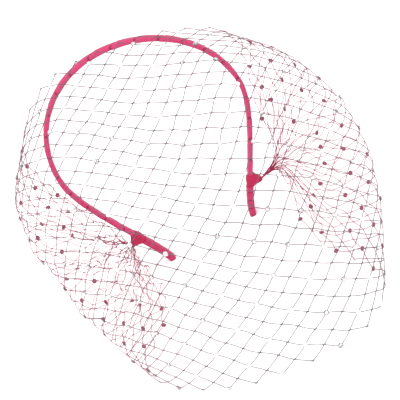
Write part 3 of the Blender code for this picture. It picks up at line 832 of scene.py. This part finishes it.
class VEIL_OT_net(bpy.types.Operator):
    """Build the fine net and its stones"""

    bl_idname = "veil.net"
    bl_label = "Net and stones"

    def execute(self, context):
        settings = context.scene.veil_settings
        net = Net(settings.crumple)
        points, faces = net_threads(net, settings.thread)
        # the first colour is painted light: pale grey for single threads in the light
        nylon = net_thread_material("#564E52", "#985A6E", "#A62450")
        threads = new_piece("veil_threads", points, faces, nylon)
        ends = [neck_points(True).mean(axis=0), neck_points(False).mean(axis=0)]
        near = np.min([np.linalg.norm(points - end, axis=1) for end in ends], axis=0)
        point_attribute(threads, "bunch", np.clip(1.0 - near / BUNCH_REACH, 0.0, 1.0))
        rest_on_root(threads, "veil_netting", "veil_net")
        stones = self.add_stones(net, settings)
        return {"FINISHED"}

    def add_stones(self, net, settings):
        """Sets a stone on every crossing of a wider diamond pattern."""
        pattern = (net.i % 2 == 0) & ((net.i + net.j) % settings.stone_spacing == 0)
        clear = (net.i > STONELESS_STEPS) & (net.i < STEPS_ALONG - STONELESS_STEPS)
        set_here = pattern & clear
        i, j = net.i[set_here], net.j[set_here]
        cut, triangles, group = stone_cut(settings.stone / 2)
        normal = net.normal(i, j)
        lead = unit(np.cross(normal, [0.0, 0.0, 1.0]))
        generator = np.random.default_rng(7)
        spin = generator.uniform(0.0, 2 * np.pi, len(i))[:, None]
        aside = np.cross(normal, lead)
        east = lead * np.cos(spin) + aside * np.sin(spin)
        north = np.cross(normal, east)
        axes = np.stack([east, north, normal], axis=1)
        base = net.place(i, j) + normal * settings.thread * STONE_LIFT
        points = base[:, None] + np.einsum("kp,npc->nkc", cut, axes)
        low = STONE_FLOOR - points[..., 2].min(axis=1)
        points[..., 2] += np.maximum(low, 0.0)[:, None]
        faces = triangles[None] + (np.arange(len(i)) * len(cut))[:, None, None]
        points, faces = points.reshape(-1, 3), [faces.reshape(-1, 3)]
        stones = new_piece("veil_stones", points, faces, stone_material(), smooth=False)
        stones.data.materials.append(back_material())
        back = np.tile(group >= BACK_GROUP, len(i))
        stones.data.polygons.foreach_set("material_index", back.astype(np.int32))
        layer = stones.data.attributes.new("facet", "FLOAT", "FACE")
        # painted shade and reflection: each stone gets a random darkening, each facet a random
        # brightness
        tone = np.repeat(generator.uniform(*STONE_TONE, len(i)), len(group))
        spark = np.tile(FACET_LIGHT[group], len(i)) + tone
        spark = spark + generator.uniform(*FACET_TONE, len(back))
        layer.data.foreach_set("value", np.clip(spark, 0.0, 1.0).astype(np.float32))
        rest_on_root(stones, "veil_netting")
        return stones


# The band and the knots


def strip_section(points, width, thickness):
    """A rounded oblong as a superellipse, half size times |cos|^p and |sin|^p: its (outward,
    sideways) offsets."""
    turn = 2 * np.pi * np.arange(points) / points
    out = np.sign(np.cos(turn)) * np.abs(np.cos(turn)) ** STRIP_POWER * thickness / 2
    side = np.sign(np.sin(turn)) * np.abs(np.sin(turn)) ** STRIP_POWER * width / 2
    return np.stack([out, side], axis=1)


def closing_fan(ring, centre, flip):
    """Triangles from a ring of points to a centre point."""
    after = np.roll(ring, -1)
    pair = (after, ring) if flip else (ring, after)
    return np.stack([np.full(len(ring), centre), *pair], axis=1)


def ring_faces(index):
    """Four-sided faces between rings of points; index is (rings, points round each)."""
    a, b = index[:-1], np.roll(index, -1, axis=1)[:-1]
    c, d = np.roll(index, -1, axis=1)[1:], index[1:]
    return np.stack([a, b, c, d], axis=-1).reshape(-1, 4)


def wound_tube(first, last, section, pitch, winding):
    """A ribbon wound round the band, closed at both ends: the section carried along the path,
    thickened by a saw tooth that starts afresh at each lap's edge, and leans across the band.
    Returns points, faces, and each point's lap share and edge shade."""
    count = int((last - first) / winding.step) + 1
    at = np.linspace(first, last, count)
    around = len(section)
    around_turn = np.arctan2(section[:, 1], section[:, 0])
    lean = winding.slant * section[None, :, 1] + LAP_BEND * pitch * np.sin(around_turn)
    phase = ((at[:, None] + lean) / pitch) % 1.0
    slope = 1.0 - LAP_FALL * (phase - LAP_EDGE) / (1.0 - LAP_EDGE)
    tooth = np.where(phase < LAP_EDGE, phase / LAP_EDGE, slope)
    uneven = LAP_UNEVEN * np.sin(at[:, None] / pitch * LAP_CHANGE)
    lift = winding.rise * tooth * (1.0 + uneven)
    middle, tangent, outward = on_band(at)
    direction = unit(section)
    grow = section[None] + direction[None] * lift[..., None]
    points = middle[:, None] + outward[:, None] * grow[..., :1] + BAND_SIDEWAYS * grow[..., 1:]
    index = np.arange(count * around).reshape(count, around)
    faces = [ring_faces(index)]
    fading = np.clip((phase - 1.0 + LAP_SHADE) / LAP_SHADE, 0.0, 1.0)
    shade = np.where(phase < LAP_EDGE, 1.0, fading)
    points, phase, shade = points.reshape(-1, 3), phase.reshape(-1), shade.reshape(-1)
    for ring, flip in ((index[0], True), (index[-1], False)):
        faces.append(closing_fan(ring, len(points), flip))
        points = np.concatenate([points, [points[ring].mean(axis=0)]])
        phase, shade = np.append(phase, 0.5), np.append(shade, 0.0)
    return points, faces, phase, shade


class VEIL_OT_band(bpy.types.Operator):
    """Build the ribbon winding of the band and of its two ends"""

    bl_idname = "veil.band"
    bl_label = "Band and end windings"

    def execute(self, context):
        settings = context.scene.band_settings
        satin = ribbon_material("wound_satin_ribbon", "#BE3565", "#86183F", settings.lap)
        section = strip_section(STRIP_POINTS, settings.strip_width, settings.strip_thickness)
        points, faces, lap, edge = wound_tube(
            RIBBON_STOP, PATH_LENGTH - RIBBON_STOP, section, settings.lap, BAND_WINDING
        )
        band = new_piece("band_ribbon", points, faces, satin)
        point_attribute(band, "lap", lap)
        point_attribute(band, "edge", edge)
        rest_on_root(band, "satin_ribbon", "headband")
        self.add_end("left", END_WRAP_LEFT, settings)
        self.add_end("right", END_WRAP_RIGHT, settings)
        return {"FINISHED"}

    def add_end(self, side, length, settings):
        """The thicker winding round one end, closed and blunt at the tip."""
        winding = ribbon_material(
            "end_ribbon_winding_" + side, "#B52858", "#801439", settings.end_lap
        )
        width = settings.strip_width + END_WIDER
        section = strip_section(STRIP_POINTS, width, settings.strip_thickness + END_THICKER)
        first, last = (0.0, length) if side == "left" else (PATH_LENGTH - length, PATH_LENGTH)
        points, faces, lap, edge = wound_tube(first, last, section, settings.end_lap, END_WINDING)
        # the tip's end stands flat on the floor
        points[:, 2] = np.maximum(points[:, 2], TIP_LIFT)
        piece = new_piece("end_winding_" + side, points, faces, winding)
        point_attribute(piece, "lap", lap)
        point_attribute(piece, "edge", edge)
        rest_on_root(piece, "ribbon_winding", "end_wrap_" + side)


class VEIL_OT_knots(bpy.types.Operator):
    """Build the bound gathers that hold the net to the band"""

    bl_idname = "veil.knots"
    bl_label = "Gather knots"

    def execute(self, context):
        for side, length in (("left", END_WRAP_LEFT), ("right", END_WRAP_RIGHT)):
            points, faces, height = self.binding(side, length)
            material = knot_material("bound_net_and_thread_" + side)
            piece = new_piece("gather_binding_" + side, points, faces, material)
            point_attribute(piece, "groove", height)
            rest_on_root(piece, "gather_binding", "gather_knot_" + side)
        return {"FINISHED"}

    def binding(self, side, length):
        """A collar round the leg with a lobe away from the head. The lobe is LOBE_FULL times
        cos^4 of the turn, the fullness swells with a power of the sine of the height, and wound
        ridges climb round it. Returns points, faces and each point's height in the grooves."""
        from_left = side == "left"
        share = np.linspace(0.0, 1.0, KNOT_RINGS)
        at = length + FITTING_GAP + share * KNOT_HEIGHT
        if not from_left:
            at = (PATH_LENGTH - at)[::-1]
            share = share[::-1]
        turn = 2 * np.pi * np.arange(KNOT_POINTS) / KNOT_POINTS
        strip = strip_section(KNOT_POINTS, KNOT_WIDTH, KNOT_THICK)
        lobe = COLLAR_FULL + LOBE_FULL * np.clip(np.cos(turn), 0.0, 1.0) ** 4
        swell = KNOT_END + (1.0 - KNOT_END) * np.sin(np.pi * share) ** KNOT_SWELL
        climb = np.pi * KNOT_RIDGES * share[:, None]
        ridges = np.abs(np.sin(climb + turn + RIDGE_BEND * np.sin(2 * turn)))
        grow = lobe * swell[:, None] * (RIDGE_UNDER + RIDGE_TALL * ridges)
        lean = np.stack([np.cos(turn), np.sin(turn)], axis=1)
        spread = strip[None] + lean[None] * grow[..., None]
        middle, _, outward = on_band(at)
        points = middle[:, None] + outward[:, None] * spread[..., :1]
        points = (points + BAND_SIDEWAYS * spread[..., 1:]).reshape(-1, 3)
        index = np.arange(len(at) * KNOT_POINTS).reshape(len(at), KNOT_POINTS)
        faces = [ring_faces(index)]
        ridges = ridges.reshape(-1)
        for ring, flip in ((index[0], True), (index[-1], False)):
            faces.append(closing_fan(ring, len(points), flip))
            points = np.concatenate([points, [points[ring].mean(axis=0)]])
            ridges = np.append(ridges, 0.2)
        return points, faces, ridges


# The stage: floor, lights and camera


class VEIL_OT_stage(bpy.types.Operator):
    """Build the floor, the soft lights and the photograph's camera"""

    bl_idname = "veil.stage"
    bl_label = "Stage"

    def execute(self, context):
        corners = FLOOR_HALF * np.array([(-1, -1, 0), (1, -1, 0), (1, 1, 0), (-1, 1, 0)])
        paper = self.floor_material()
        floor = new_piece("stage_floor", corners, [np.array([[0, 1, 2, 3]])], paper)
        world = bpy.data.worlds.new("soft_studio")
        world.use_nodes = True
        background = world.node_tree.nodes["Background"]
        background.inputs["Color"].default_value = (1.0, 1.0, 1.0, 1.0)
        background.inputs["Strength"].default_value = 1.0
        context.scene.world = world
        # a plain print of the light, so that white paper stays white as in the photograph
        context.scene.view_settings.view_transform = "Standard"
        for lamp in LAMPS:
            self.add_light(lamp)
        self.add_camera(context)
        return {"FINISHED"}

    def floor_material(self):
        """Matt white studio paper."""
        made, tree, shader = new_material("matt_studio_paper")
        coordinates = add_node(tree, "ShaderNodeTexCoord")
        noise = add_node(
            tree,
            "ShaderNodeTexNoise",
            inputs={"Vector": coordinates.outputs["Object"], "Scale": 3.0},
        )
        tint = colour_ramp(tree, noise.outputs["Fac"], [(0.3, "#FBFBFB"), (0.7, "#FFFFFF")])
        tree.links.new(tint, shader.inputs["Base Color"])
        shader.inputs["Roughness"].default_value = 0.9
        return made

    def add_light(self, lamp):
        """A square area light that faces the veil."""
        light = bpy.data.lights.new(lamp.name, "AREA")
        light.size = lamp.size
        light.energy = lamp.power
        holder = bpy.data.objects.new(lamp.name, light)
        bpy.context.scene.collection.objects.link(holder)
        away = np.array(lamp.place) - (ORIGIN + VIEW_TARGET)
        holder.location = lamp.place
        holder.rotation_euler = self.facing(away, np.array([0.0, 0.0, 1.0]))

    def facing(self, back, up):
        """Euler angles of an object whose -Z looks along -back, with its Y towards up."""
        z = unit(back)
        x = unit(np.cross(up, z))
        y = np.cross(z, x)
        return self.euler(np.stack([x, y, z], axis=1))

    def euler(self, matrix):
        """XYZ Euler angles of a rotation matrix."""
        pitch = np.arcsin(-np.clip(matrix[2, 0], -1.0, 1.0))
        roll = np.arctan2(matrix[2, 1], matrix[2, 2])
        yaw = np.arctan2(matrix[1, 0], matrix[0, 0])
        return (roll, pitch, yaw)

    def add_camera(self, context):
        """The camera looks down at the target from in front and is rolled about its own axis."""
        right = np.array([1.0, 0.0, 0.0])
        ahead = np.array([0.0, np.cos(VIEW_ELEVATION), -np.sin(VIEW_ELEVATION)])
        up = np.cross(right, ahead)
        camera_right = np.cos(VIEW_ROLL) * right - np.sin(VIEW_ROLL) * up
        camera_up = np.sin(VIEW_ROLL) * right + np.cos(VIEW_ROLL) * up
        camera = bpy.data.cameras.new("photo_camera")
        camera.sensor_width = SENSOR
        camera.lens = SENSOR * VIEW_DISTANCE / VIEW_FIELD
        camera.clip_start = 0.01
        holder = bpy.data.objects.new("photo_camera", camera)
        context.scene.collection.objects.link(holder)
        target = ORIGIN + VIEW_TARGET
        holder.location = target - ahead * VIEW_DISTANCE
        holder.rotation_euler = self.euler(np.stack([camera_right, camera_up, -ahead], axis=1))
        context.scene.camera = holder


class VEIL_PT_panel(bpy.types.Panel):
    """Lists the veil's builders and sizes"""

    bl_idname = "VEIL_PT_panel"
    bl_label = "Birdcage Veil"
    bl_space_type = "VIEW_3D"
    bl_region_type = "UI"
    bl_category = "Veil"

    def draw(self, context):
        for settings in (context.scene.veil_settings, context.scene.band_settings):
            for name in settings.__annotations__:
                self.layout.prop(settings, name)
        for operator in OPERATORS:
            self.layout.operator(operator.bl_idname)


OPERATORS = (VEIL_OT_stage, VEIL_OT_band, VEIL_OT_knots, VEIL_OT_net)
CLASSES = (VeilSettings, BandSettings, *OPERATORS, VEIL_PT_panel)


def register():
    """Registers the classes and the settings."""
    for item in CLASSES:
        bpy.utils.register_class(item)
    bpy.types.Scene.veil_settings = PointerProperty(type=VeilSettings)
    bpy.types.Scene.band_settings = PointerProperty(type=BandSettings)


def unregister():
    """Removes the settings and the classes."""
    del bpy.types.Scene.band_settings
    del bpy.types.Scene.veil_settings
    for item in reversed(CLASSES):
        bpy.utils.unregister_class(item)


def main():
    """Builds everything in order."""
    register()
    bpy.ops.veil.stage()
    bpy.ops.veil.band()
    bpy.ops.veil.knots()
    bpy.ops.veil.net()
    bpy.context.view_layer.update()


if __name__ == "__main__":
    main()
